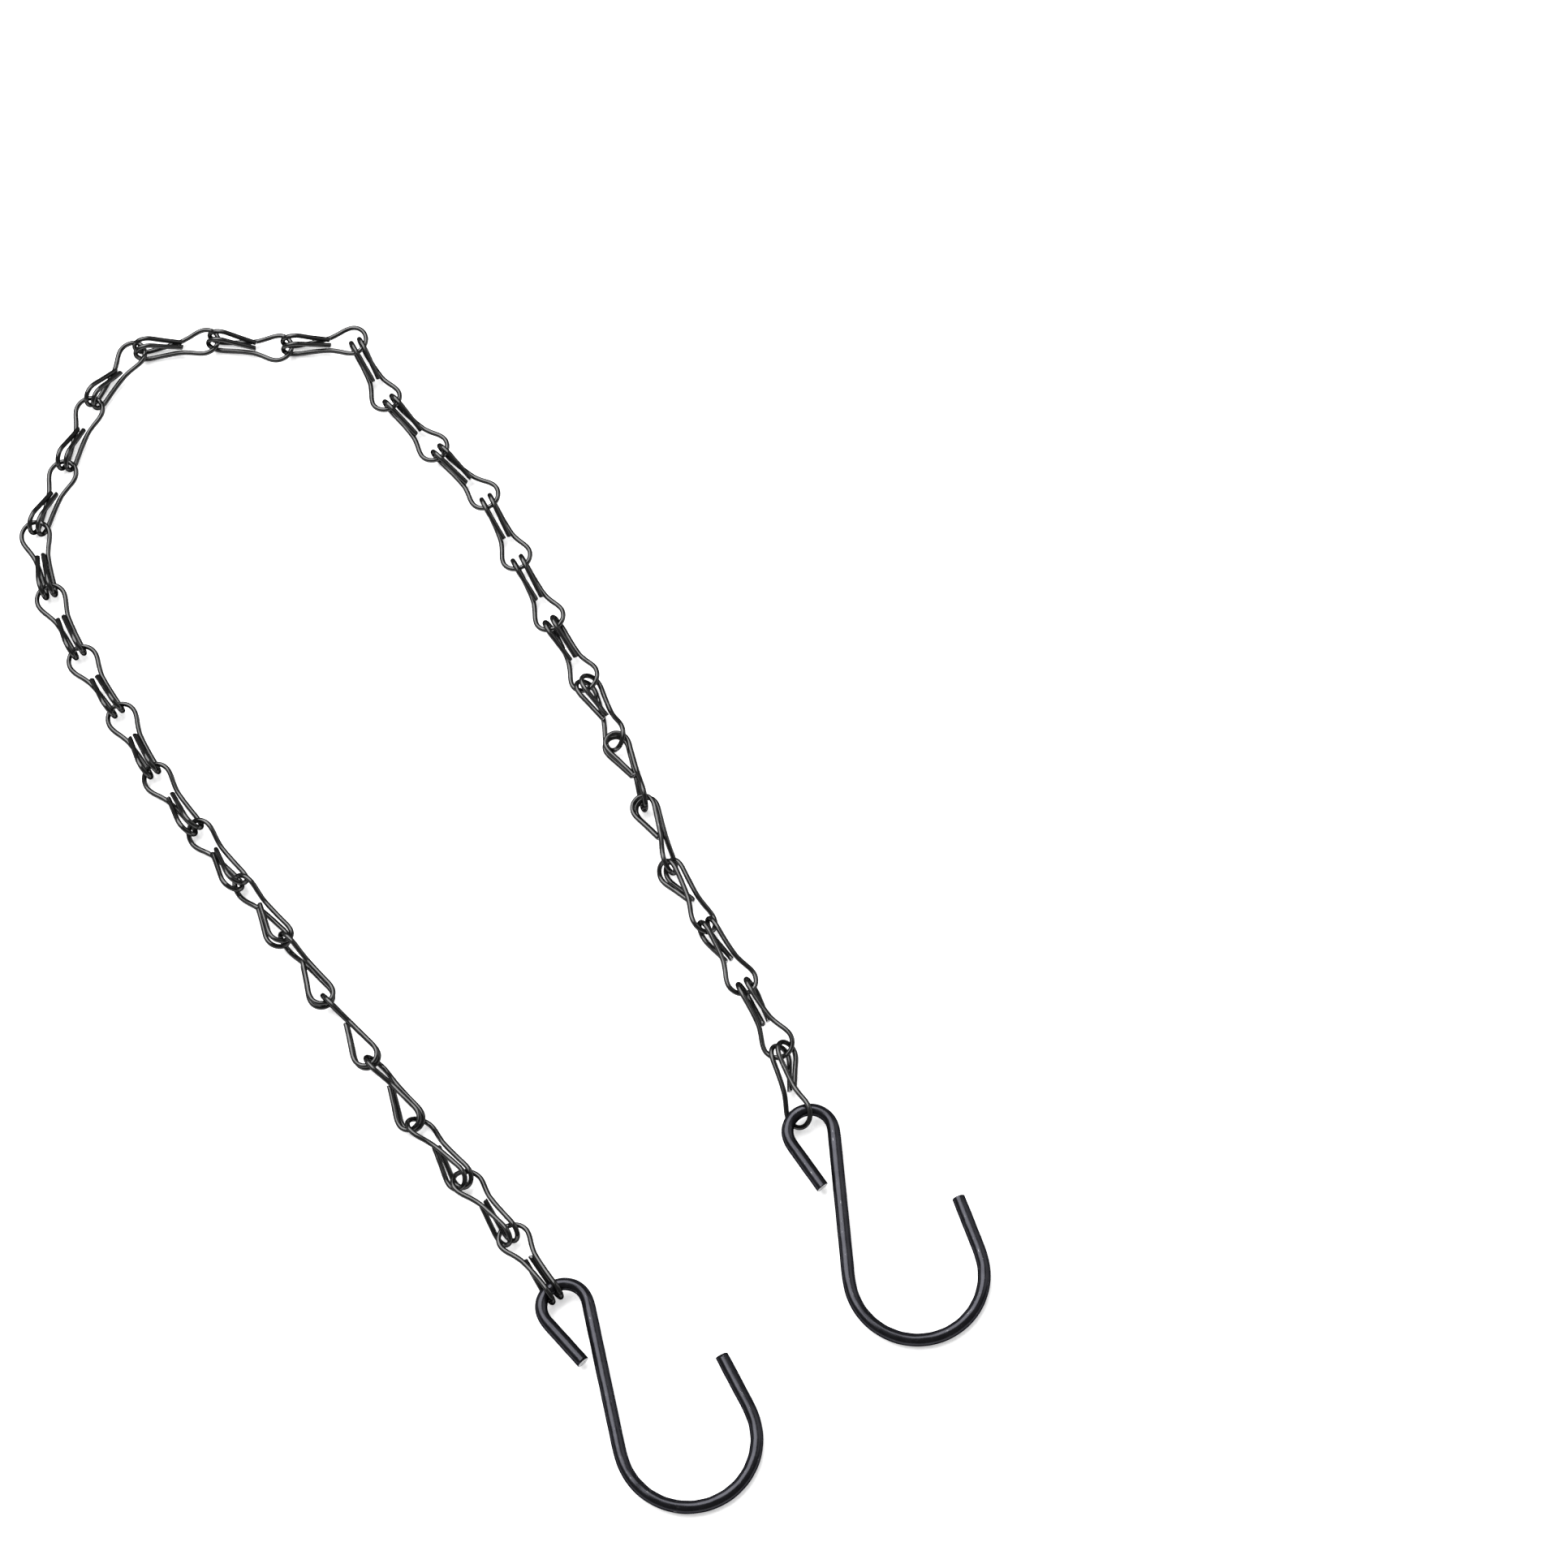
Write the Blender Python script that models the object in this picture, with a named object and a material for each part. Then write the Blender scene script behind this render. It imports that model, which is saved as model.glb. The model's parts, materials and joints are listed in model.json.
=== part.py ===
"""Hanging chain of double-jack wire links with an S-hook at each end, laid out in a U.

Every link is one bent wire: two hooks at one end wrap the round ring of the link before it.
Lengths below are in millimetres and are turned into metres when a mesh is made.
The object rests on the plane z = 0 and the middle of its outline is over the origin.
"""
import math

import bmesh
import bpy
import numpy as np

MM = 0.001

# Wires
LINK_WIRE_RADIUS = 0.8
HOOK_WIRE_RADIUS = 2.0
LINK_SIDES = 6
HOOK_SIDES = 8
END_CHAMFER = 0.12

# One link, in its own frame: +X runs from the hooks to the ring, +Z is the return-leg side
BEND_RADIUS = 3.7
BEND_STEPS = 6
BEND_START_DEG = 58.0
BEND_END_DEG = 270.0
HALF_GAP = 1.45
RETURN_LEG = ((11.1, 1.15, 1.7), (6.4, 1.3, 4.3))
MAIN_LEG = ((4.2, 1.58, 0.0), (8.1, 1.82, 0.0), (11.0, 2.18, 0.0), (13.7, 3.08, 0.0))
RING_X = 18.3
RING_RADIUS = 4.65
RING_START_DEG = 115.7
RING_STEPS = 4

# The S-hook as straight legs (length) and bends (radius, turn to the left in degrees)
HOOK_RETURN_LEG = 16.4
EYE_RADIUS = 6.9
EYE_TURN_DEG = -209.5
SHANK = 46.2
MOUTH_RADIUS = 20.0
MOUTH_TURN_DEG = 195.0
TIP_LEG = 17.8
BEND_STEP_DEG = 14.0

# The route of the chain, from the left S-hook to the right one: one compass heading per link
HEADINGS_DEG = (
    127, 130, 130, 125, 126, 125, 128, 128,
    126, 121, 123, 116, 100, 72, 71, 51,
    8, -4, -5, -60, -48, -49, -64, -63,
    -63, -66, -66, -68, -59, -59, -63, -76,
)
# How far each link is rolled about its own length: (link number, degrees), 0 = return legs up
ROLL_KEYS = (
    (1, -177), (4, -115), (6, -83), (8, -43), (10, -16), (13, -10), (16, -12),
    (18, 0), (21, 8), (24, 12), (25, 22), (26, 51), (27, 84), (28, 113),
    (29, 140), (30, 169), (31, 199), (32, 227),
)
# Links that aren't pulled tight, by number: how far the ring before has slid back in their hooks
SLACK = {2: 1.6, 3: 1.4, 13: 1.0, 14: 1.0}
LINK_COUNT = len(HEADINGS_DEG)
ROOT_LINK = 17

# How neighbours sit in each other
CLEARANCE = 0.6
GRIP_REACH = 2.0
GRIP_STEP = 0.1
SAG_DEG = 35.0
SLIDE_SHARE = 0.9
EYE_GRIP = (0.3, 0.0, 3.75)
EYE_SEAT_X = 18.3
FIRST_HEIGHT = 3.4
EYE_HEIGHT = 3.9
SETTLE_PASSES = 20
SETTLE_RATE = 0.6

# How the S-hooks lie
LEFT_EYE_DEG = 130.0
LEFT_SHANK_DEG = -77.4
RIGHT_EYE_DEG = 121.0
RIGHT_SHANK_DEG = -84.8

LINK_COLOR = (0.030, 0.030, 0.032, 1.0)
HOOK_COLOR = (0.018, 0.018, 0.022, 1.0)
SMOOTH_ANGLE = math.radians(50.0)


def turn(axis, degrees):
    """Rotation matrix about one world axis."""
    c = math.cos(math.radians(degrees))
    s = math.sin(math.radians(degrees))
    if axis == "X":
        return np.array(((1, 0, 0), (0, c, -s), (0, s, c)))
    if axis == "Y":
        return np.array(((c, 0, s), (0, 1, 0), (-s, 0, c)))
    return np.array(((c, -s, 0), (s, c, 0), (0, 0, 1)))


def link_route():
    """Centre line of one link's wire, from one cut end to the other, in the link's frame."""
    half = list(RETURN_LEG)
    for step in range(BEND_STEPS + 1):
        share = step / BEND_STEPS
        angle = math.radians(BEND_START_DEG + (BEND_END_DEG - BEND_START_DEG) * share)
        x = BEND_RADIUS * math.cos(angle)
        z = BEND_RADIUS * (1.0 + math.sin(angle))
        half.append((x, HALF_GAP, z))
    half.extend(MAIN_LEG)
    for step in range(RING_STEPS + 1):
        angle = math.radians(RING_START_DEG * (1.0 - step / RING_STEPS))
        half.append((RING_X + RING_RADIUS * math.cos(angle), RING_RADIUS * math.sin(angle), 0.0))
    other_half = [(x, -y, z) for x, y, z in reversed(half[:-1])]
    return np.array(half + other_half)


def hook_route():
    """Centre line of the S-hook in its own flat frame, with the centres of its two bends."""
    point = np.zeros(2)
    heading = 0.0
    points = [point]
    centres = []
    sections = (
        (HOOK_RETURN_LEG, EYE_RADIUS, EYE_TURN_DEG),
        (SHANK, MOUTH_RADIUS, MOUTH_TURN_DEG),
        (TIP_LEG, 0.0, 0.0),
    )
    for length, radius, turn_deg in sections:
        point = point + length * np.array((math.cos(heading), math.sin(heading)))
        points.append(point)
        if radius == 0.0:
            break
        side = math.copysign(1.0, turn_deg)
        centre = point + side * radius * np.array((-math.sin(heading), math.cos(heading)))
        centres.append(centre)
        steps = math.ceil(abs(turn_deg) / BEND_STEP_DEG)
        for step in range(1, steps + 1):
            along = heading + math.radians(turn_deg) * step / steps
            point = centre - side * radius * np.array((-math.sin(along), math.cos(along)))
            points.append(point)
        heading += math.radians(turn_deg)
    return np.array(points), centres


def ring_seat(slide):
    """Point and wire direction on a link's ring, slid round from the tip by an angle."""
    point = np.array((RING_X + RING_RADIUS * math.cos(slide), RING_RADIUS * math.sin(slide), 0.0))
    along = np.array((-math.sin(slide), math.cos(slide), 0.0))
    return point, along


def held_wire():
    """Closely spaced points on the ring's wire, in the link's frame."""
    return np.array([ring_seat(math.radians(angle))[0] for angle in range(-120, 121, 6)])


def holding_wires():
    """Closely spaced points on both hooks of a link, in its frame."""
    points = []
    for angle in range(int(BEND_START_DEG), int(BEND_END_DEG) + 1, 6):
        x = BEND_RADIUS * math.cos(math.radians(angle))
        z = BEND_RADIUS * (1.0 + math.sin(math.radians(angle)))
        points.extend(((x, HALF_GAP, z), (x, -HALF_GAP, z)))
    return np.array(points)


def nearest(points, others):
    """Shortest distance between two sets of points."""
    return np.linalg.norm(points[:, None] - others[None], axis=2).min()


def hook_grip(roll_deg, wire, slack):
    """Where the wire held by a link's hooks runs, in the link's frame.

    The wire is pulled to the end of the bend and sags a little. It backs off through the middle
    of the bend until it clears both hooks, and by the slack. It is given relative to the point
    it is held by.
    """
    sag = math.radians(SAG_DEG)
    pull = np.array((-math.cos(sag), 0.0, -math.sin(sag) * math.cos(math.radians(roll_deg))))
    pull /= np.linalg.norm(pull)
    hooks = holding_wires()
    best_room = 0.0
    for reach in np.arange(GRIP_REACH, -GRIP_REACH, -GRIP_STEP):
        grip = np.array((0.0, 0.0, BEND_RADIUS)) + reach * pull
        room = nearest(wire + grip, hooks)
        if room > best_room:
            best_room = room
            best_grip = grip
        if room >= 2.0 * LINK_WIRE_RADIUS + CLEARANCE:
            break
    return best_grip - slack * pull


class Link:
    """One link's place in the laid-out chain."""

    def __init__(self, number):
        keys = np.array(ROLL_KEYS, dtype=float)
        self.number = number
        self.heading = HEADINGS_DEG[number - 1]
        self.roll = float(np.interp(number, keys[:, 0], keys[:, 1]))
        self.yaw = float(self.heading)
        self.pitch = 0.0
        self.grip = np.array(EYE_GRIP)
        self.seat = np.array((EYE_SEAT_X, 0.0, 0.0))
        self.seat_along = np.array((0.0, 1.0, 0.0))
        self.origin = np.zeros(3)

    def rotation(self):
        return turn("Z", self.yaw) @ turn("Y", -self.pitch) @ turn("X", self.roll)

    def world(self, local):
        return self.origin + local @ self.rotation().T

    def aim(self, rise):
        """Point the link along its heading while its ring end rises by the given height."""
        reach = turn("X", self.roll) @ (self.seat - self.grip)
        level = math.atan2(reach[2], reach[0])
        climb = math.asin(rise / math.hypot(reach[0], reach[2]))
        self.pitch = math.degrees(climb - level)
        reach = turn("Y", -self.pitch) @ reach
        self.yaw = self.heading - math.degrees(math.atan2(reach[1], reach[0]))


def settle_chain():
    """Lay all links along the route so that each rests on the floor or on its neighbours."""
    links = [Link(number) for number in range(1, LINK_COUNT + 1)]
    route = link_route()
    heights = [FIRST_HEIGHT] * (LINK_COUNT + 1)
    heights[0] = heights[-1] = EYE_HEIGHT
    for _ in range(SETTLE_PASSES):
        for link, follower in zip(links, links[1:]):
            ahead = link.rotation().T @ follower.rotation()[:, 0]
            slide = SLIDE_SHARE * math.atan2(ahead[1], ahead[0])
            link.seat, link.seat_along = ring_seat(slide)
            wire = (held_wire() - link.seat) @ (follower.rotation().T @ link.rotation()).T
            slack = SLACK.get(follower.number, 0.0)
            follower.grip = hook_grip(follower.roll, wire, slack)
        for index, link in enumerate(links):
            link.aim(heights[index + 1] - heights[index])
            lowest = ((route - link.grip) @ link.rotation().T)[:, 2].min()
            depth = heights[index] + lowest - LINK_WIRE_RADIUS
            if depth < 0.0:
                heights[index] -= SETTLE_RATE * depth
                heights[index + 1] -= SETTLE_RATE * depth
    joint = np.array((0.0, 0.0, heights[0]))
    joints = [joint]
    for link in links:
        link.origin = joint - link.rotation() @ link.grip
        joint = link.world(link.seat)
        joints.append(joint)
    return links, joints


def lay_hook(seat, eye_deg, shank_deg):
    """Centre line of an S-hook whose eye passes through the seat and whose bend is on the floor."""
    flat, centres = hook_route()
    swing = turn("Z", shank_deg - EYE_TURN_DEG)[:2, :2]
    eye_angle = math.radians(eye_deg)
    eye = seat[:2] - EYE_RADIUS * np.array((math.cos(eye_angle), math.sin(eye_angle)))
    plan = (flat - centres[0]) @ swing.T
    axis = (centres[1] - centres[0]) @ swing.T
    span = np.linalg.norm(axis)
    share = plan @ (axis / span) / (span + MOUTH_RADIUS)
    rise = seat[2] + (HOOK_WIRE_RADIUS - seat[2]) * share
    return np.column_stack((plan + eye, rise))


def wire_frames(route, up):
    """Two unit side vectors at every route point, carried along without twisting."""
    steps = np.diff(route, axis=0)
    steps /= np.linalg.norm(steps, axis=1)[:, None]
    tangents = np.vstack((steps[:1], steps[:-1] + steps[1:], steps[-1:]))
    tangents /= np.linalg.norm(tangents, axis=1)[:, None]
    side = np.cross(tangents[0], up)
    frames = []
    for tangent in tangents:
        side = side - tangent * (side @ tangent)
        side /= np.linalg.norm(side)
        frames.append((tangent, side, np.cross(tangent, side)))
    return frames


def mitre(route, index):
    """How much wider the section at a corner has to be to keep the wire's thickness."""
    if index in (0, len(route) - 1):
        return 1.0
    before = route[index] - route[index - 1]
    after = route[index + 1] - route[index]
    cosine = before @ after / (np.linalg.norm(before) * np.linalg.norm(after))
    return 1.0 / math.sqrt(0.5 * (1.0 + cosine))


def add_section(bm, centre, frame, radius, sides, offset=0.0, stretch=1.0, bend=None):
    """One ring of vertices round the wire, widened across a bend."""
    tangent, side, across = frame
    ring = []
    for index in range(sides):
        angle = 2.0 * math.pi * (index + 0.5) / sides
        spoke = radius * (math.cos(angle) * side + math.sin(angle) * across)
        if bend is not None:
            spoke = spoke + bend * (spoke @ bend) * (stretch - 1.0)
        ring.append(bm.verts.new((centre + spoke + offset * tangent) * MM))
    return ring


def bend_direction(route, index):
    """Unit vector in the plane of a corner, across the wire, or None on a straight."""
    if index in (0, len(route) - 1):
        return None
    before = route[index] - route[index - 1]
    after = route[index + 1] - route[index]
    inward = after / np.linalg.norm(after) - before / np.linalg.norm(before)
    size = np.linalg.norm(inward)
    if size < 1e-6:
        return None
    return inward / size


def add_wire(name, route, up, radius, sides, pivot, material):
    """A closed wire body along the route, as an object whose origin is the pivot."""
    local = route - pivot
    frames = wire_frames(local, np.array(up, dtype=float))
    last = len(local) - 1
    bm = bmesh.new()
    inner = radius - END_CHAMFER
    sections = [add_section(bm, local[0], frames[0], inner, sides)]
    sections.append(add_section(bm, local[0], frames[0], radius, sides, END_CHAMFER))
    for index in range(1, last):
        stretch = mitre(local, index)
        bend = bend_direction(local, index)
        sections.append(
            add_section(bm, local[index], frames[index], radius, sides, 0.0, stretch, bend)
        )
    sections.append(add_section(bm, local[last], frames[last], radius, sides, -END_CHAMFER))
    sections.append(add_section(bm, local[last], frames[last], inner, sides))
    for ring, following in zip(sections, sections[1:]):
        for index in range(sides):
            after = (index + 1) % sides
            bm.faces.new((ring[index], following[index], following[after], ring[after]))
    bm.faces.new(sections[0])
    bm.faces.new(list(reversed(sections[-1])))
    bmesh.ops.recalc_face_normals(bm, faces=bm.faces)
    mesh = bpy.data.meshes.new(name)
    bm.to_mesh(mesh)
    bm.free()
    mesh.materials.append(material)
    for face in mesh.polygons:
        face.use_smooth = True
    mesh.set_sharp_from_angle(angle=SMOOTH_ANGLE)
    thing = bpy.data.objects.new(name, mesh)
    thing.location = tuple(pivot * MM)
    bpy.context.scene.collection.objects.link(thing)
    return thing


def steel(name, color, roughness):
    """Painted or blackened steel wire."""
    material = bpy.data.materials.new(name)
    material.use_nodes = True
    shader = material.node_tree.nodes["Principled BSDF"]
    shader.inputs["Base Color"].default_value = color
    shader.inputs["Metallic"].default_value = 0.6
    shader.inputs["Roughness"].default_value = roughness
    return material


def clear_scene():
    for thing in list(bpy.data.objects):
        bpy.data.objects.remove(thing, do_unlink=True)


def main():
    clear_scene()
    links, joints = settle_chain()
    left = lay_hook(joints[0], LEFT_EYE_DEG, LEFT_SHANK_DEG)
    right = lay_hook(joints[-1], RIGHT_EYE_DEG, RIGHT_SHANK_DEG)
    route = link_route()
    wires = [link.world(route) for link in links]
    reach = np.vstack(wires)
    hooks = np.vstack((left, right))
    low = np.minimum(reach.min(0) - LINK_WIRE_RADIUS, hooks.min(0) - HOOK_WIRE_RADIUS)
    high = np.maximum(reach.max(0) + LINK_WIRE_RADIUS, hooks.max(0) + HOOK_WIRE_RADIUS)
    middle = 0.5 * (low + high)
    shift = -np.array((middle[0], middle[1], low[2]))

    for link, wire in zip(links, wires):
        pivot = joints[link.number - 1] if link.number > ROOT_LINK else joints[link.number]
        material = steel(f"link_{link.number:02d}_black_steel", LINK_COLOR, 0.42)
        up = link.rotation()[:, 1]
        add_wire(
            f"link_{link.number:02d}", wire + shift, up,
            LINK_WIRE_RADIUS, LINK_SIDES, pivot + shift, material,
        )
    for name, wire, pivot in (("hook_left", left, joints[0]), ("hook_right", right, joints[-1])):
        material = steel(f"{name}_black_steel", HOOK_COLOR, 0.3)
        up = (0.0, 0.0, 1.0)
        add_wire(
            name, wire + shift, up,
            HOOK_WIRE_RADIUS, HOOK_SIDES, pivot + shift, material,
        )


main()
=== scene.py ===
"""Looks of a black double-jack chain with an S-hook at each end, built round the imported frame.

Every link and S-hook is one round wire. Its centre line is drawn once in its own frame, rounded
as wire bent in a tool is, swept into a fine tube with cut ends, and put where its CAD node lies.
Lengths are in millimetres until a mesh is made.
"""
import json
import math

import bpy
import numpy as np
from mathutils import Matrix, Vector

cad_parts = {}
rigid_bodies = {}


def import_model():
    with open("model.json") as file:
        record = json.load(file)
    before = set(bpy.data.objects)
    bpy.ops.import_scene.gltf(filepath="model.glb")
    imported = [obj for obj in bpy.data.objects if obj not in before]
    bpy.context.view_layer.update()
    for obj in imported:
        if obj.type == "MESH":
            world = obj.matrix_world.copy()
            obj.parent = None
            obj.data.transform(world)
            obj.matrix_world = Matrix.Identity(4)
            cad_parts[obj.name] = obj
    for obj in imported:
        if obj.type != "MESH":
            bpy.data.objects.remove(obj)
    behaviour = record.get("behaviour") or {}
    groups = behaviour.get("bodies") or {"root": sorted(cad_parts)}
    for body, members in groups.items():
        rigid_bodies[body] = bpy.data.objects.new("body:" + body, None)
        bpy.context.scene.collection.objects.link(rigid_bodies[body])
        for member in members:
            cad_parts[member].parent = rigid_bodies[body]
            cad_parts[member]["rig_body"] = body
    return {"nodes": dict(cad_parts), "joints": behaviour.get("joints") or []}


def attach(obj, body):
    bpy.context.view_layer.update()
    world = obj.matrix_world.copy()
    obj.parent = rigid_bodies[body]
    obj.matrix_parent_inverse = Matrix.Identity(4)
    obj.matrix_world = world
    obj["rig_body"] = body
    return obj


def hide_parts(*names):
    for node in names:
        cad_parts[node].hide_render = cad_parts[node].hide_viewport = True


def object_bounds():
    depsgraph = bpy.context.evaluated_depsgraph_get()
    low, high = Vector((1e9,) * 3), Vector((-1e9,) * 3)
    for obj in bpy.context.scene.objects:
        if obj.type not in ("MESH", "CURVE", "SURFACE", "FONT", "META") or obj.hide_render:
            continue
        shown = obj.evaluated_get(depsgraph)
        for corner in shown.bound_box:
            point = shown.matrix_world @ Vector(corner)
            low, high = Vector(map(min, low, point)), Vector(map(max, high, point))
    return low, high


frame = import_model()
CAD_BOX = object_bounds()

MM = 0.001

# One link's centre line, as in the CAD: +X runs from the hooks to the ring, +Z is the return leg
BEND_RADIUS = 3.7
BEND_STEPS = 6
BEND_START_DEG = 58.0
BEND_END_DEG = 270.0
HALF_GAP = 1.45
RETURN_LEG = ((11.1, 1.15, 1.7), (6.4, 1.3, 4.3))
# The visible return legs close fully onto the main legs, where the CAD leaves a gap
CLOSED_RETURN_LEG = ((11.5, 0.95, 1.0), (6.4, 1.22, 4.05))
MAIN_LEG = ((4.2, 1.58, 0.0), (8.1, 1.82, 0.0), (11.0, 2.18, 0.0), (13.7, 3.08, 0.0))
RING_X = 18.3
RING_RADIUS = 4.65
RING_START_DEG = 115.7
RING_STEPS = 4

# The S-hook's centre line, as in the CAD: straight legs (length) and bends (radius, left turn)
HOOK_RETURN_LEG = 16.4
EYE_RADIUS = 6.9
EYE_TURN_DEG = -209.5
SHANK = 46.2
MOUTH_RADIUS = 20.0
MOUTH_TURN_DEG = 195.0
TIP_LEG = 17.8
BEND_STEP_DEG = 14.0

# Wires: radius, points along and round it, and how far its corners are rounded
LINK_WIRE_RADIUS = 0.78
LINK_SIDES = 24
LINK_SPACING = 0.36
LINK_ROUNDING = 0.95
HOOK_WIRE_RADIUS = 1.95
HOOK_SIDES = 48
HOOK_SPACING = 0.5
HOOK_ROUNDING = 1.6
# The hook's line is drawn at this scale, so that the round wire stays inside the CAD's box
HOOK_SHRINK = 0.997
# A bend flattens the wire by this share of its radius over the bend's radius, and widens it
# by FLATTENING_BULGE of that
FLATTENING = 0.22
FLATTENING_BULGE = 0.4

# A cut end, ring by ring: (share of the radius, height over the end of the centre line)
LINK_CUT = ((1.0, -0.24), (0.97, -0.1), (0.88, -0.02), (0.72, 0.01), (0.45, 0.03), (0.2, 0.02))
HOOK_CUT = (
    (1.0, -0.34), (0.992, -0.2), (0.965, -0.08), (0.92, -0.015),
    (0.86, 0.0), (0.6, -0.02), (0.35, -0.01), (0.15, -0.02),
)
BARE_FROM_SHARE = 0.93
# Cutting pinches a link's wire to a blunt chisel over this length
PINCH_LENGTH = 1.1
PINCH_DEPTH = 0.2
# The cut leans by up to this slope
LINK_CUT_SLOPE = 0.3
HOOK_CUT_SLOPE = 0.06
# A pinched end grows sideways by this share of the pinch
PINCH_BULGE = 0.35
# How far the cut face is from flat, and how much of the skin gives way to the cut's own rings
CUT_ROUGHNESS = 0.015
CUT_TRIM = 0.35

# Small unevenness of the drawn and coated wire
RIPPLE_HEIGHT = 0.009
RIPPLE_WAVES = 5
RIPPLE_LENGTHS = (3.0, 14.0)
RIPPLE_TURNS = 4
DENT_COUNT = 7
DENT_DEPTH = 0.035
DENT_SIZE = 1.3
# A dent's width round the wire is this share of its length along it
DENT_WIDTH = 0.7
# Neighbours rub the coating thin within this distance of the point where they hang
RUB_REACH = 1.5

# Noises in the material: (stretch along and across the wire), scale
STREAK_STRETCH = (0.12, 3.2, 3.2)
STREAK_SCALE = 1.0
FLECK_STRETCH = (1.3, 2.6, 2.6)
FLECK_SCALE = 1.6
SCRATCH_STRETCH = (0.35, 6.0, 6.0)
SCRATCH_SCALE = 1.3
CLOUD_SCALE = 0.35
GRAIN_SCALE = 7.0
# Each look comes in between two values of its noise, a chip within this much above its level
CHIP_EDGE = 0.02
SCRATCH_LEVELS = (0.72, 0.76)
RUB_LEVELS = (0.5, 0.72)
CLOUD_LEVELS = (0.3, 0.7)
GRAIN_LEVELS = (0.35, 0.65)
# A scratch bares this much of the steel, and the darker steel has this share of the colour
SCRATCH_STRENGTH = 0.7
DARK_STEEL_SHARE = 0.45
# The coat's roughness goes from this much under its gloss value to this much over it
CLOUD_GLOSS = (0.04, 0.05)
# Streaks roughen it more and more between these levels, by up to STREAK_GLOSS
STREAK_LEVELS = (0.4818, 0.7)
STREAK_GLOSS = 0.06
LEAST_ROUGHNESS = 0.1
STREAK_RELIEF = 0.5
GRAIN_RELIEF = 0.35
RELIEF_HEIGHT = 0.02

# Materials: darker and lighter coat, its metal share and roughness, the steel under it, the noise
# value from which it is chipped, and how strong its relief is
LINK_COAT = (0.042, 0.042, 0.042, 1.0)
LINK_COAT_LIGHT = (0.058, 0.058, 0.058, 1.0)
LINK_METAL_SHARE = 0.93
LINK_GLOSS = 0.16
LINK_STEEL = (0.42, 0.42, 0.43, 1.0)
LINK_CHIP_LEVEL = 0.73
LINK_RELIEF = 0.5
HOOK_COAT = (0.025, 0.025, 0.029, 1.0)
HOOK_COAT_LIGHT = (0.033, 0.033, 0.038, 1.0)
HOOK_METAL_SHARE = 0.88
HOOK_GLOSS = 0.2
HOOK_STEEL = (0.5, 0.5, 0.51, 1.0)
HOOK_CHIP_LEVEL = 0.75
HOOK_RELIEF = 0.45
BLACK = (0.0, 0.0, 0.0, 1.0)
WHITE = (1.0, 1.0, 1.0, 1.0)

# Softboxes over the table, place and size in metres and power in watts, and the table itself
KEY_PLACE = (-0.62, 0.62, 1.5)
KEY_SIZE = (2.1, 1.8)
KEY_WATTS = 82.0
FILL_PLACE = (1.5, 0.5, 1.1)
FILL_SIZE = (0.9, 1.7)
FILL_WATTS = 6.0
WORLD_STRENGTH = 0.2
TABLE_GLOW = 0.45
TABLE_COLOR = (0.9, 0.9, 0.9, 1.0)
TABLE_ROUGHNESS = 0.9
TABLE_SHINE = 0.1
TABLE_HALF_SIDE = 3.0

# Camera: tilt off the vertical, distance, lens, and what it looks at beside the object's middle
VIEW_TILT_DEG = 24.0
VIEW_DISTANCE = 1325.0
VIEW_ANGLE_DEG = 20.66
VIEW_AIM = (90.3, 34.8, 0.0)


def link_route(return_leg):
    """Centre line of one link's wire, from one cut end to the other, in the link's frame."""
    half = list(return_leg)
    for step in range(BEND_STEPS + 1):
        share = step / BEND_STEPS
        angle = math.radians(BEND_START_DEG + (BEND_END_DEG - BEND_START_DEG) * share)
        x = BEND_RADIUS * math.cos(angle)
        z = BEND_RADIUS * (1.0 + math.sin(angle))
        half.append((x, HALF_GAP, z))
    half.extend(MAIN_LEG)
    for step in range(RING_STEPS + 1):
        angle = math.radians(RING_START_DEG * (1.0 - step / RING_STEPS))
        half.append((RING_X + RING_RADIUS * math.cos(angle), RING_RADIUS * math.sin(angle), 0.0))
    other_half = [(x, -y, z) for x, y, z in reversed(half[:-1])]
    return np.array(half + other_half)


def hook_route():
    """Centre line of the S-hook in its own flat frame."""
    point = np.zeros(3)
    heading = 0.0
    points = [point]
    sections = (
        (HOOK_RETURN_LEG, EYE_RADIUS, EYE_TURN_DEG),
        (SHANK, MOUTH_RADIUS, MOUTH_TURN_DEG),
        (TIP_LEG, 0.0, 0.0),
    )
    for length, radius, turn_deg in sections:
        point = point + length * np.array((math.cos(heading), math.sin(heading), 0.0))
        points.append(point)
        side = math.copysign(radius, turn_deg)
        centre = point + side * np.array((-math.sin(heading), math.cos(heading), 0.0))
        steps = math.ceil(abs(turn_deg) / BEND_STEP_DEG)
        for step in range(1, steps + 1):
            along = heading + math.radians(turn_deg) * step / steps
            point = centre - side * np.array((-math.sin(along), math.cos(along), 0.0))
            points.append(point)
        heading += math.radians(turn_deg)
    return np.array(points)


def spaced(route, spacing):
    """The same line with evenly spaced points."""
    lengths = np.linalg.norm(np.diff(route, axis=0), axis=1)
    along = np.concatenate(((0.0,), np.cumsum(lengths)))
    places = np.linspace(0.0, along[-1], round(along[-1] / spacing) + 1)
    return np.column_stack([np.interp(places, along, route[:, axis]) for axis in range(3)])


def blurred(route, spacing, reach):
    """The line averaged along itself. Past its ends it goes straight on, so they stay in place."""
    count = math.ceil(3.0 * reach / spacing)
    steps = np.arange(-count, count + 1) * spacing
    weights = np.exp(-0.5 * (steps / reach) ** 2)
    weights /= weights.sum()
    before = 2.0 * route[0] - route[count:0:-1]
    after = 2.0 * route[-1] - route[-2:-count - 2:-1]
    longer = np.vstack((before, route, after))
    return np.column_stack([np.convolve(longer[:, axis], weights, "valid") for axis in range(3)])


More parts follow.
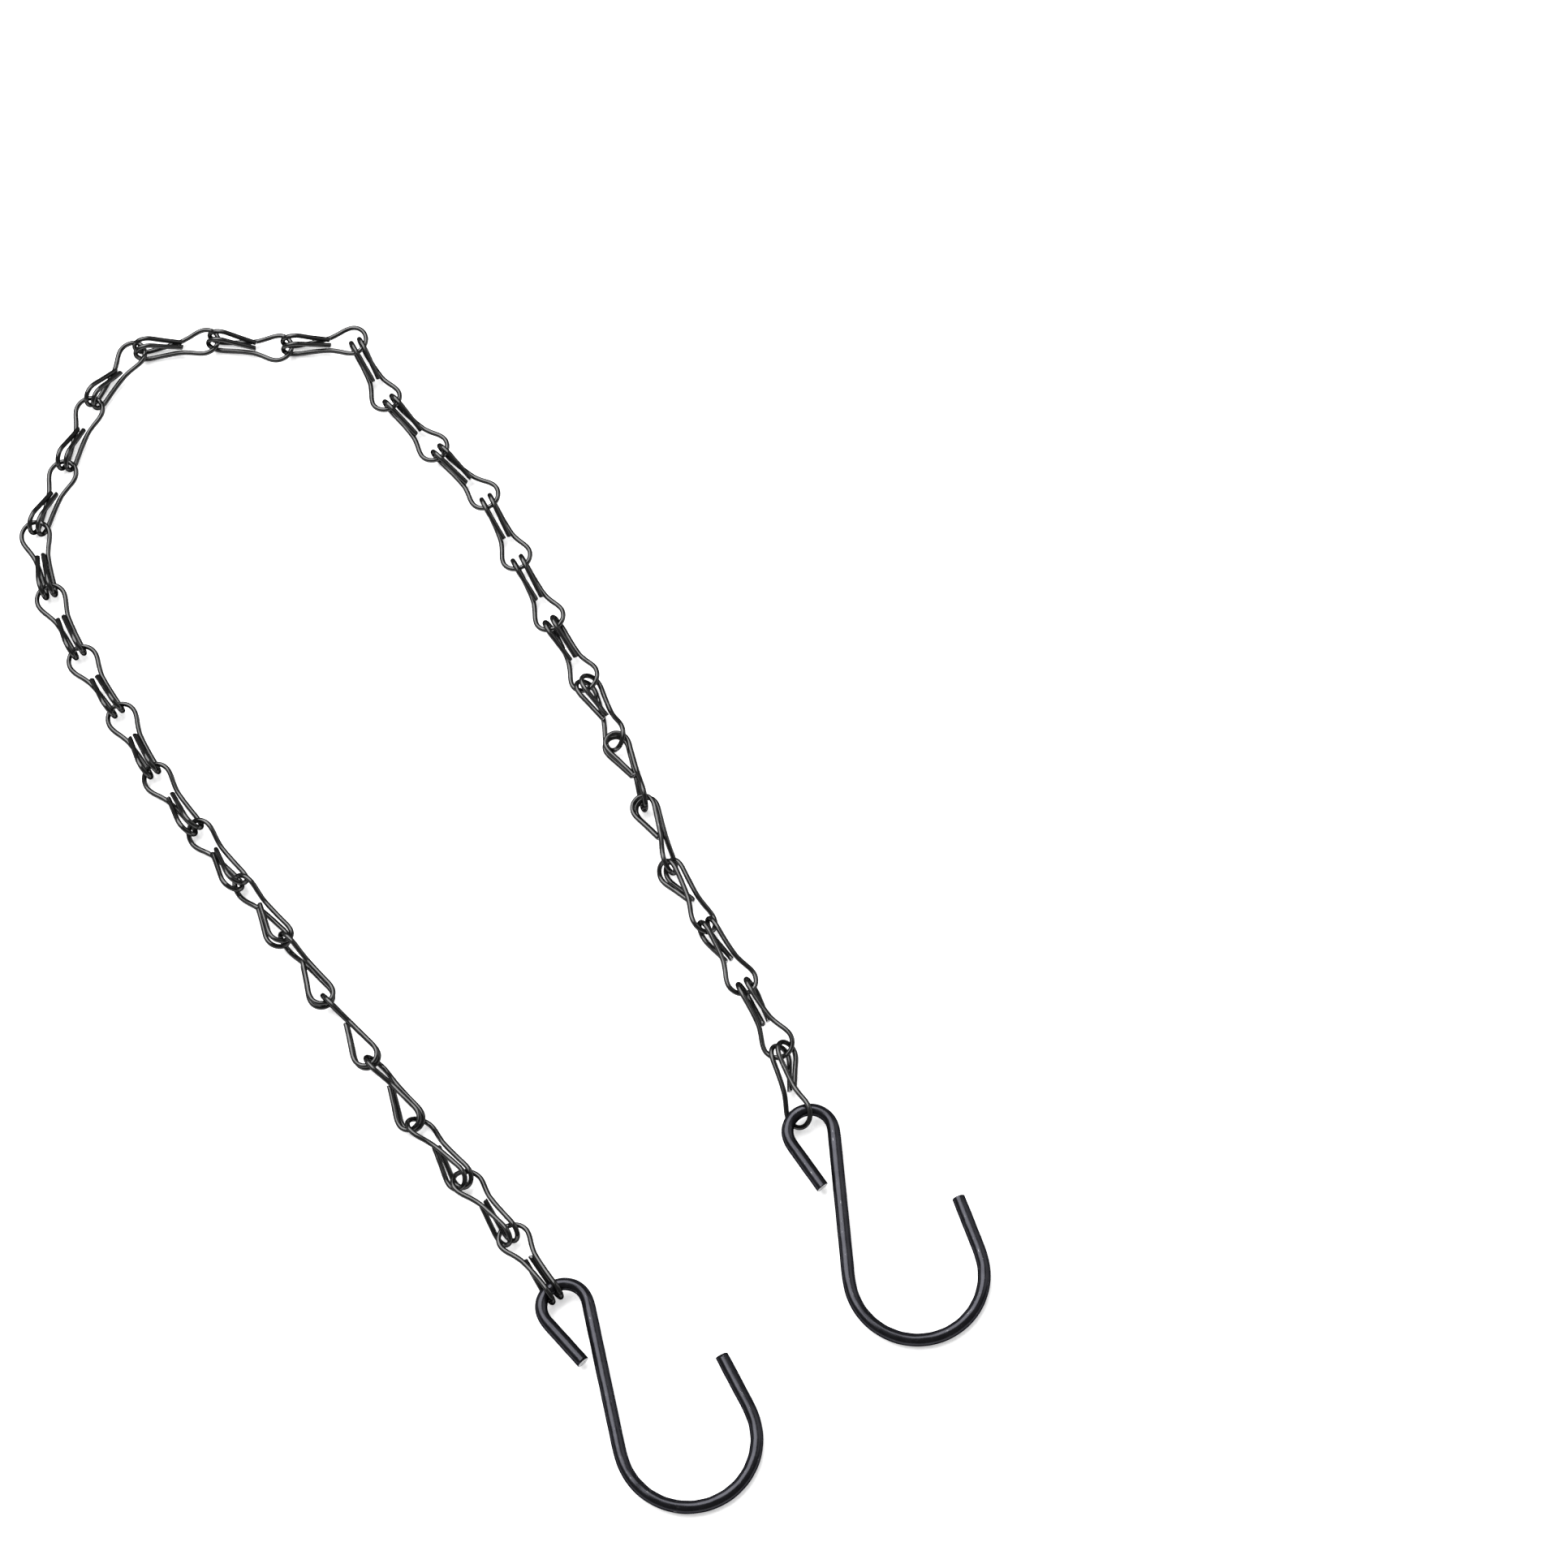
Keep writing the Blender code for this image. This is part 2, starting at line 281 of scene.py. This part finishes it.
def rounded(route, spacing, reach):
    """The line with its corners rounded off and its bends kept at their radius."""
    fine = spaced(route, spacing)
    once = blurred(fine, spacing, reach)
    twice = blurred(once, spacing, reach)
    return spaced(2.0 * once - twice, spacing)


def carried_sides(tangents, up):
    """A unit side vector at every point of the line, carried along it without twisting."""
    side = np.cross(tangents[0], up)
    sides = []
    for tangent in tangents:
        side = side - tangent * (side @ tangent)
        side /= np.linalg.norm(side)
        sides.append(side)
    return np.array(sides)


def ripple(along, around, rng):
    """Height of the coated surface's slow unevenness, in millimetres."""
    height = np.zeros((len(along), len(around)))
    for _ in range(RIPPLE_WAVES):
        length = rng.uniform(*RIPPLE_LENGTHS)
        turns = rng.integers(0, RIPPLE_TURNS)
        phase = rng.uniform(0.0, 2.0 * math.pi)
        swing = rng.uniform(0.4, 1.0) * RIPPLE_HEIGHT
        wave = 2.0 * math.pi * along[:, None] / length + turns * around[None] + phase
        height += swing * np.sin(wave)
    return height


def dents(along, around, radius, rng):
    """Depth of a few small knocks in the wire, in millimetres."""
    depth = np.zeros((len(along), len(around)))
    for _ in range(DENT_COUNT):
        place = rng.uniform(0.0, along[-1])
        angle = rng.uniform(0.0, 2.0 * math.pi)
        size = DENT_SIZE * rng.uniform(0.5, 1.0)
        gap = np.angle(np.exp(1j * (around - angle))) * radius
        distance = ((along - place)[:, None] / size) ** 2 + (gap[None] / (DENT_WIDTH * size)) ** 2
        depth += DENT_DEPTH * rng.uniform(0.4, 1.0) * np.exp(-distance)
    return depth


class Wire:
    """A round wire swept along a line, as rings of points with what the material reads."""

    def __init__(self, route, up, radius, sides, seed):
        self.rng = np.random.default_rng(seed)
        self.route = route
        self.radius = radius
        self.sides = sides
        steps = np.diff(route, axis=0)
        lengths = np.linalg.norm(steps, axis=1)
        self.along = np.concatenate(((0.0,), np.cumsum(lengths)))
        self.tangents = np.gradient(route, self.along, axis=0)
        self.tangents /= np.linalg.norm(self.tangents, axis=1)[:, None]
        self.side = carried_sides(self.tangents, np.array(up, dtype=float))
        self.across = np.cross(self.tangents, self.side)
        self.around = 2.0 * math.pi * np.arange(sides) / sides
        self.height = np.zeros((len(route), sides))

    def spokes(self):
        """Vectors from the centre line to the surface, flattened across each bend."""
        cos = np.cos(self.around)[None, :, None]
        sin = np.sin(self.around)[None, :, None]
        spokes = cos * self.side[:, None] + sin * self.across[:, None]
        bend = np.gradient(self.tangents, self.along, axis=0)
        sharpness = np.linalg.norm(bend, axis=1)
        inward = bend / np.maximum(sharpness, 1e-9)[:, None]
        share = np.einsum("nsk,nk->ns", spokes, inward)
        squeeze = FLATTENING * self.radius * sharpness
        spokes = spokes * (1.0 + FLATTENING_BULGE * squeeze)[:, None, None]
        flat = (1.0 + FLATTENING_BULGE) * squeeze
        spokes -= (flat[:, None] * share)[..., None] * inward[:, None]
        return spokes * (self.radius + self.height)[..., None]

    def pinched(self, spokes):
        """The spokes with both ends squeezed to a blunt chisel, as cutters leave them."""
        for place in (0.0, self.along[-1]):
            angle = self.rng.uniform(0.0, math.pi)
            depth = PINCH_DEPTH * self.rng.uniform(0.6, 1.0)
            near = np.clip(1.0 - np.abs(self.along - place) / PINCH_LENGTH, 0.0, 1.0) ** 1.5
            pinch = math.cos(angle) * self.side + math.sin(angle) * self.across
            share = np.einsum("nsk,nk->ns", spokes, pinch)
            spokes = spokes * (1.0 + PINCH_BULGE * depth * near)[:, None, None]
            flat = (1.0 + PINCH_BULGE) * depth * near
            spokes -= (flat[:, None] * share)[..., None] * pinch[:, None]
        return spokes

    def end_rings(self, spokes, at_start, cut, slope):
        """Rings from the wire's skin to the middle of one cut face."""
        index = 0 if at_start else -1
        outward = -self.tangents[0] if at_start else self.tangents[-1]
        lean = self.rng.uniform(0.0, 2.0 * math.pi)
        slant = slope * self.rng.uniform(0.5, 1.0) * np.cos(self.around - lean)
        rings = []
        for share, height in cut:
            rough = 0.0
            if share < BARE_FROM_SHARE:
                rough = CUT_ROUGHNESS * self.rng.normal(size=self.sides)
            rise = height + self.radius * share * slant + rough - self.radius * slope
            rings.append(self.route[index] + share * spokes[index] + rise[:, None] * outward)
        return np.array(rings)

    def surface(self, pinch, cut, slope):
        """Points in rings from one cut face to the other, with their values for the material."""
        spokes = self.spokes()
        if pinch:
            spokes = self.pinched(spokes)
        margin = CUT_TRIM + slope
        trim = (self.along > margin) & (self.along < self.along[-1] - margin)
        skin = (self.route[:, None] + spokes)[trim]
        first = self.end_rings(spokes, True, cut, slope)[::-1]
        last = self.end_rings(spokes, False, cut, slope)
        points = np.concatenate((first, skin, last))
        shares = np.array([share for share, _ in cut])
        bare = (shares < BARE_FROM_SHARE).astype(float)
        bare = np.concatenate((bare[::-1], np.zeros(trim.sum()), bare))
        reach = np.concatenate((shares[::-1], np.ones(trim.sum()), shares))
        start = np.full(len(cut), self.along[trim][0])
        end = np.full(len(cut), self.along[trim][-1])
        along = np.concatenate((start, self.along[trim], end))
        return points, bare, along, reach


def tube_faces(ring_count, sides):
    """Quads between neighbouring rings, and a fan over each end."""
    faces = []
    for ring in range(ring_count - 1):
        for index in range(sides):
            here = ring * sides + index
            beside = ring * sides + (index + 1) % sides
            faces.append((here, beside, beside + sides, here + sides))
    first = ring_count * sides
    last = (ring_count - 1) * sides
    for index in range(sides):
        beside = (index + 1) % sides
        faces.append((first, beside, index))
        faces.append((first + 1, last + index, last + beside))
    return faces


def solid_axes(centre, spread, points):
    """Principal directions as columns. Each points to the side on which the shape reaches further.

    The direction in which the shape is most even gets its sign from the other two.
    """
    _, axes = np.linalg.eigh(spread)
    reach = (points - centre) @ axes
    lean = reach.max(0) + reach.min(0)
    axes = axes * np.where(lean < 0.0, -1.0, 1.0)
    if np.linalg.det(axes) < 0.0:
        axes[:, np.argmin(np.abs(lean))] *= -1.0
    return axes


def place_of_line(route):
    """Centre and principal directions of a wire's centre line."""
    steps = np.diff(route, axis=0)
    lengths = np.linalg.norm(steps, axis=1)
    middles = 0.5 * (route[1:] + route[:-1])
    centre = lengths @ middles / lengths.sum()
    arms = middles - centre
    spread = np.einsum("n,ni,nj->ij", lengths, arms, arms)
    spread += np.einsum("n,ni,nj->ij", lengths, steps, steps) / 12.0
    return centre, solid_axes(centre, spread, route)


def place_of_node(node):
    """Centre and principal directions of a CAD node's solid, in millimetres."""
    mesh = frame["nodes"][node].data
    mesh.calc_loop_triangles()
    points = np.array([vertex.co for vertex in mesh.vertices], dtype=float) / MM
    corners = np.array([triangle.vertices for triangle in mesh.loop_triangles])
    middle = points.mean(0)
    a, b, c = (points[corners[:, index]] - middle for index in range(3))
    volumes = np.einsum("ni,ni->n", a, np.cross(b, c))
    centre = volumes @ (a + b + c) / (4.0 * volumes.sum())
    a, b, c = a - centre, b - centre, c - centre
    volumes = np.einsum("ni,ni->n", a, np.cross(b, c))
    centre += middle
    spread = np.zeros((3, 3))
    for arms in (a, b, c, a + b + c):
        spread += np.einsum("n,ni,nj->ij", volumes, arms, arms)
    return centre, solid_axes(centre, spread, points)


def node_fit(node, route):
    """Rotation and shift, in millimetres, that lay a centre line where its CAD node is."""
    here, own_axes = place_of_line(route)
    there, node_axes = place_of_node(node)
    rotation = node_axes @ own_axes.T
    return rotation, there - rotation @ here


def add_values(mesh, name, kind, values):
    layer = mesh.attributes.new(name, kind, "POINT")
    field = "vector" if kind == "FLOAT_VECTOR" else "value"
    layer.data.foreach_set(field, np.asarray(values, dtype=np.float32).ravel())


def rub_values(points):
    """How much each point is rubbed by a neighbour, from how near it is to a joint."""
    joints = np.array([joint["pos_m"] for joint in frame["joints"]]) / MM
    gaps = np.linalg.norm(points[:, None] - joints[None], axis=2).min(1)
    return np.exp(-(gaps / RUB_REACH) ** 2)


def add_wire(node, wire, cad_route, pinch, cut, slope, material):
    """The finished piece for one CAD node."""
    points, bare, along, reach = wire.surface(pinch, cut, slope)
    rings, sides = points.shape[:2]
    flat = points.reshape(-1, 3)
    centres = np.array((points[0].mean(0), points[-1].mean(0)))
    rotation, shift = node_fit(node, cad_route)
    flat = np.vstack((flat, centres)) @ rotation.T + shift

    mesh = bpy.data.meshes.new(node)
    mesh.from_pydata((flat * MM).tolist(), [], tube_faces(rings, sides))
    mesh.validate()
    offset = wire.rng.uniform(0.0, 200.0)
    straight = np.zeros((rings, sides, 3))
    straight[..., 0] = along[:, None] + offset
    straight[..., 1] = wire.radius * np.cos(wire.around) * reach[:, None]
    straight[..., 2] = wire.radius * np.sin(wire.around) * reach[:, None]
    ends = np.array(((along[0] + offset, 0.0, 0.0), (along[-1] + offset, 0.0, 0.0)))
    add_values(mesh, "straight", "FLOAT_VECTOR", np.vstack((straight.reshape(-1, 3), ends)))
    add_values(mesh, "bare", "FLOAT", np.concatenate((np.repeat(bare, sides), (1.0, 1.0))))
    add_values(mesh, "rub", "FLOAT", rub_values(flat))
    mesh.materials.append(material)
    mesh.shade_smooth()
    piece = bpy.data.objects.new(f"{node}_wire", mesh)
    bpy.context.scene.collection.objects.link(piece)
    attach(piece, frame["nodes"][node]["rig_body"])
    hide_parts(node)
    return piece


class Shader:
    """Short names for the node calls that a material needs."""

    def __init__(self, name):
        self.material = bpy.data.materials.new(name)
        self.material.use_nodes = True
        self.nodes = self.material.node_tree.nodes
        self.links = self.material.node_tree.links
        self.principled = self.nodes["Principled BSDF"]

    def add(self, kind, **inputs):
        node = self.nodes.new(kind)
        for socket, value in inputs.items():
            self.set(node, socket.replace("_", " "), value)
        return node

    def set(self, node, socket, value):
        target = node.inputs[socket]
        if isinstance(value, bpy.types.NodeSocket):
            self.links.new(value, target)
        else:
            target.default_value = value

    def attribute(self, name, output):
        node = self.nodes.new("ShaderNodeAttribute")
        node.attribute_name = name
        return node.outputs[output]

    def math(self, operation, first, second):
        node = self.nodes.new("ShaderNodeMath")
        node.operation = operation
        node.use_clamp = operation in ("MULTIPLY", "ADD", "MAXIMUM")
        for index, value in enumerate((first, second)):
            if isinstance(value, bpy.types.NodeSocket):
                self.links.new(value, node.inputs[index])
            else:
                node.inputs[index].default_value = value
        return node.outputs[0]

    def stretched(self, vector, scale):
        node = self.nodes.new("ShaderNodeVectorMath")
        node.operation = "MULTIPLY"
        self.links.new(vector, node.inputs[0])
        node.inputs[1].default_value = scale
        return node.outputs[0]

    def noise(self, vector, scale, detail=3.0, roughness=0.5):
        node = self.add("ShaderNodeTexNoise", Vector=vector, Scale=scale, Detail=detail)
        node.inputs["Roughness"].default_value = roughness
        return node.outputs["Fac"]

    def ranged(self, value, low, high, to_low=0.0, to_high=1.0):
        node = self.nodes.new("ShaderNodeMapRange")
        for socket, number in zip(range(1, 5), (low, high, to_low, to_high)):
            node.inputs[socket].default_value = number
        self.links.new(value, node.inputs[0])
        return node.outputs[0]

    def mixed(self, share, first, second):
        node = self.nodes.new("ShaderNodeMix")
        node.data_type = "RGBA"
        self.set_index(node, 0, share)
        self.set_index(node, 6, first)
        self.set_index(node, 7, second)
        return node.outputs[2]

    def set_index(self, node, index, value):
        if isinstance(value, bpy.types.NodeSocket):
            self.links.new(value, node.inputs[index])
        else:
            node.inputs[index].default_value = value


def black_wire(name, coat, coat_light, metal_share, gloss, steel, chip_level, relief_strength):
    """Coated black steel wire: drawn streaks, chips down to steel and bare cut ends.

    The coat shines like dark metal over a matt black, and stays dark where it is seen edge-on.
    """
    shader = Shader(name)
    shader.set(shader.principled, "IOR", 1.0)
    straight = shader.attribute("straight", "Vector")
    streaks = shader.noise(shader.stretched(straight, STREAK_STRETCH), STREAK_SCALE, 4.0)
    cloud = shader.noise(straight, CLOUD_SCALE, 4.0)
    grain = shader.noise(straight, GRAIN_SCALE, 3.0)
    flecks = shader.noise(shader.stretched(straight, FLECK_STRETCH), FLECK_SCALE, 5.0, 0.6)

    chips = shader.ranged(flecks, chip_level, chip_level + CHIP_EDGE)
    scratches = shader.noise(shader.stretched(straight, SCRATCH_STRETCH), SCRATCH_SCALE, 2.0)
    scratched = shader.math("MULTIPLY", shader.ranged(scratches, *SCRATCH_LEVELS), SCRATCH_STRENGTH)
    rub = shader.attribute("rub", "Fac")
    rubbed = shader.math("MULTIPLY", rub, shader.ranged(grain, *RUB_LEVELS))
    worn = shader.math("MAXIMUM", chips, shader.math("MAXIMUM", scratched, rubbed))
    bare = shader.math("MAXIMUM", worn, shader.attribute("bare", "Fac"))

    coat_color = shader.mixed(shader.ranged(cloud, *CLOUD_LEVELS), coat, coat_light)
    steel_dark = tuple(DARK_STEEL_SHARE * value for value in steel[:3]) + (1.0,)
    steel_color = shader.mixed(shader.ranged(grain, *GRAIN_LEVELS), steel_dark, steel)
    shader.set(shader.principled, "Base Color", shader.mixed(bare, coat_color, steel_color))
    metallic = shader.ranged(bare, 0.0, 1.0, metal_share, 1.0)
    shader.set(shader.principled, "Metallic", metallic)
    shader.set(shader.principled, "Specular Tint", shader.mixed(bare, BLACK, WHITE))

    under, over = CLOUD_GLOSS
    coat_rough = shader.ranged(cloud, *CLOUD_LEVELS, gloss - under, gloss + over)
    uneven = shader.ranged(streaks, *STREAK_LEVELS, 0.0, STREAK_GLOSS)
    rough = shader.math("ADD", coat_rough, uneven)
    shader.set(shader.principled, "Roughness", shader.math("MAXIMUM", rough, LEAST_ROUGHNESS))

    relief = shader.math("MULTIPLY", streaks, STREAK_RELIEF)
    relief = shader.math("ADD", relief, shader.math("MULTIPLY", grain, GRAIN_RELIEF))
    bump = shader.add(
        "ShaderNodeBump", Height=relief, Strength=relief_strength, Distance=RELIEF_HEIGHT * MM
    )
    shader.set(shader.principled, "Normal", bump.outputs["Normal"])
    return shader.material


def add_links(material):
    cad_route = link_route(RETURN_LEG)
    line = rounded(link_route(CLOSED_RETURN_LEG), LINK_SPACING, LINK_ROUNDING)
    for node in sorted(frame["nodes"]):
        if not node.startswith("link_"):
            continue
        number = int(node[-2:])
        wire = Wire(line, (0.0, 1.0, 0.0), LINK_WIRE_RADIUS, LINK_SIDES, number)
        wire.height = ripple(wire.along, wire.around, wire.rng)
        piece = add_wire(node, wire, cad_route, True, LINK_CUT, LINK_CUT_SLOPE, material)


def add_hooks(material):
    cad_route = hook_route()
    line = rounded(cad_route, HOOK_SPACING, HOOK_ROUNDING)
    centre, _ = place_of_line(cad_route)
    line = centre + HOOK_SHRINK * (line - centre)
    for seed, node in enumerate(("hook_left", "hook_right"), start=101):
        wire = Wire(line, (0.0, 0.0, 1.0), HOOK_WIRE_RADIUS, HOOK_SIDES, seed)
        wire.height = ripple(wire.along, wire.around, wire.rng)
        wire.height -= dents(wire.along, wire.around, HOOK_WIRE_RADIUS, wire.rng)
        piece = add_wire(node, wire, cad_route, False, HOOK_CUT, HOOK_CUT_SLOPE, material)


def add_floor():
    """A plain white table that reaches past the view, lit a little from inside."""
    half = TABLE_HALF_SIDE
    corners = ((-half, -half), (half, -half), (half, half), (-half, half))
    mesh = bpy.data.meshes.new("floor")
    mesh.from_pydata([(x, y, 0.0) for x, y in corners], [], [(0, 1, 2, 3)])
    shader = Shader("white_table")
    shader.set(shader.principled, "Base Color", TABLE_COLOR)
    shader.set(shader.principled, "Roughness", TABLE_ROUGHNESS)
    shader.set(shader.principled, "Specular IOR Level", TABLE_SHINE)
    shader.set(shader.principled, "Emission Color", WHITE)
    shader.set(shader.principled, "Emission Strength", TABLE_GLOW)
    mesh.materials.append(shader.material)
    floor = bpy.data.objects.new("floor", mesh)
    bpy.context.scene.collection.objects.link(floor)


def add_softbox(name, place, size, watts):
    """A softbox aimed at the point under the middle of the object."""
    data = bpy.data.lights.new(name, "AREA")
    data.shape = "RECTANGLE"
    data.size, data.size_y = size
    data.energy = watts
    light = bpy.data.objects.new(name, data)
    light.location = place
    light.rotation_euler = Vector(place).to_track_quat("Z", "Y").to_euler()
    bpy.context.scene.collection.objects.link(light)


def add_lights():
    """A big softbox behind the object on the left, a weak one on the right and a weak even sky."""
    add_softbox("key", KEY_PLACE, KEY_SIZE, KEY_WATTS)
    add_softbox("fill", FILL_PLACE, FILL_SIZE, FILL_WATTS)
    world = bpy.data.worlds.new("studio")
    world.use_nodes = True
    background = world.node_tree.nodes["Background"]
    background.inputs["Color"].default_value = WHITE
    background.inputs["Strength"].default_value = WORLD_STRENGTH
    bpy.context.scene.world = world


def add_camera():
    low, high = CAD_BOX
    middle = Vector(((low.x + high.x) / 2.0, (low.y + high.y) / 2.0, low.z))
    aim = middle + Vector(VIEW_AIM) * MM
    tilt = math.radians(VIEW_TILT_DEG)
    data = bpy.data.cameras.new("view")
    data.angle = math.radians(VIEW_ANGLE_DEG)
    data.clip_start = 0.01
    data.clip_end = 20.0
    camera = bpy.data.objects.new("view", data)
    camera.location = aim + Vector((0.0, -math.sin(tilt), math.cos(tilt))) * VIEW_DISTANCE * MM
    camera.rotation_euler = (tilt, 0.0, 0.0)
    bpy.context.scene.collection.objects.link(camera)
    bpy.context.scene.camera = camera


def main():
    add_camera()
    add_floor()
    add_lights()
    bpy.context.scene.view_settings.view_transform = "Standard"
    link_black = black_wire(
        "link_black", LINK_COAT, LINK_COAT_LIGHT, LINK_METAL_SHARE, LINK_GLOSS,
        LINK_STEEL, LINK_CHIP_LEVEL, LINK_RELIEF,
    )
    hook_black = black_wire(
        "hook_black", HOOK_COAT, HOOK_COAT_LIGHT, HOOK_METAL_SHARE, HOOK_GLOSS,
        HOOK_STEEL, HOOK_CHIP_LEVEL, HOOK_RELIEF,
    )
    add_links(link_black)
    add_hooks(hook_black)


main()
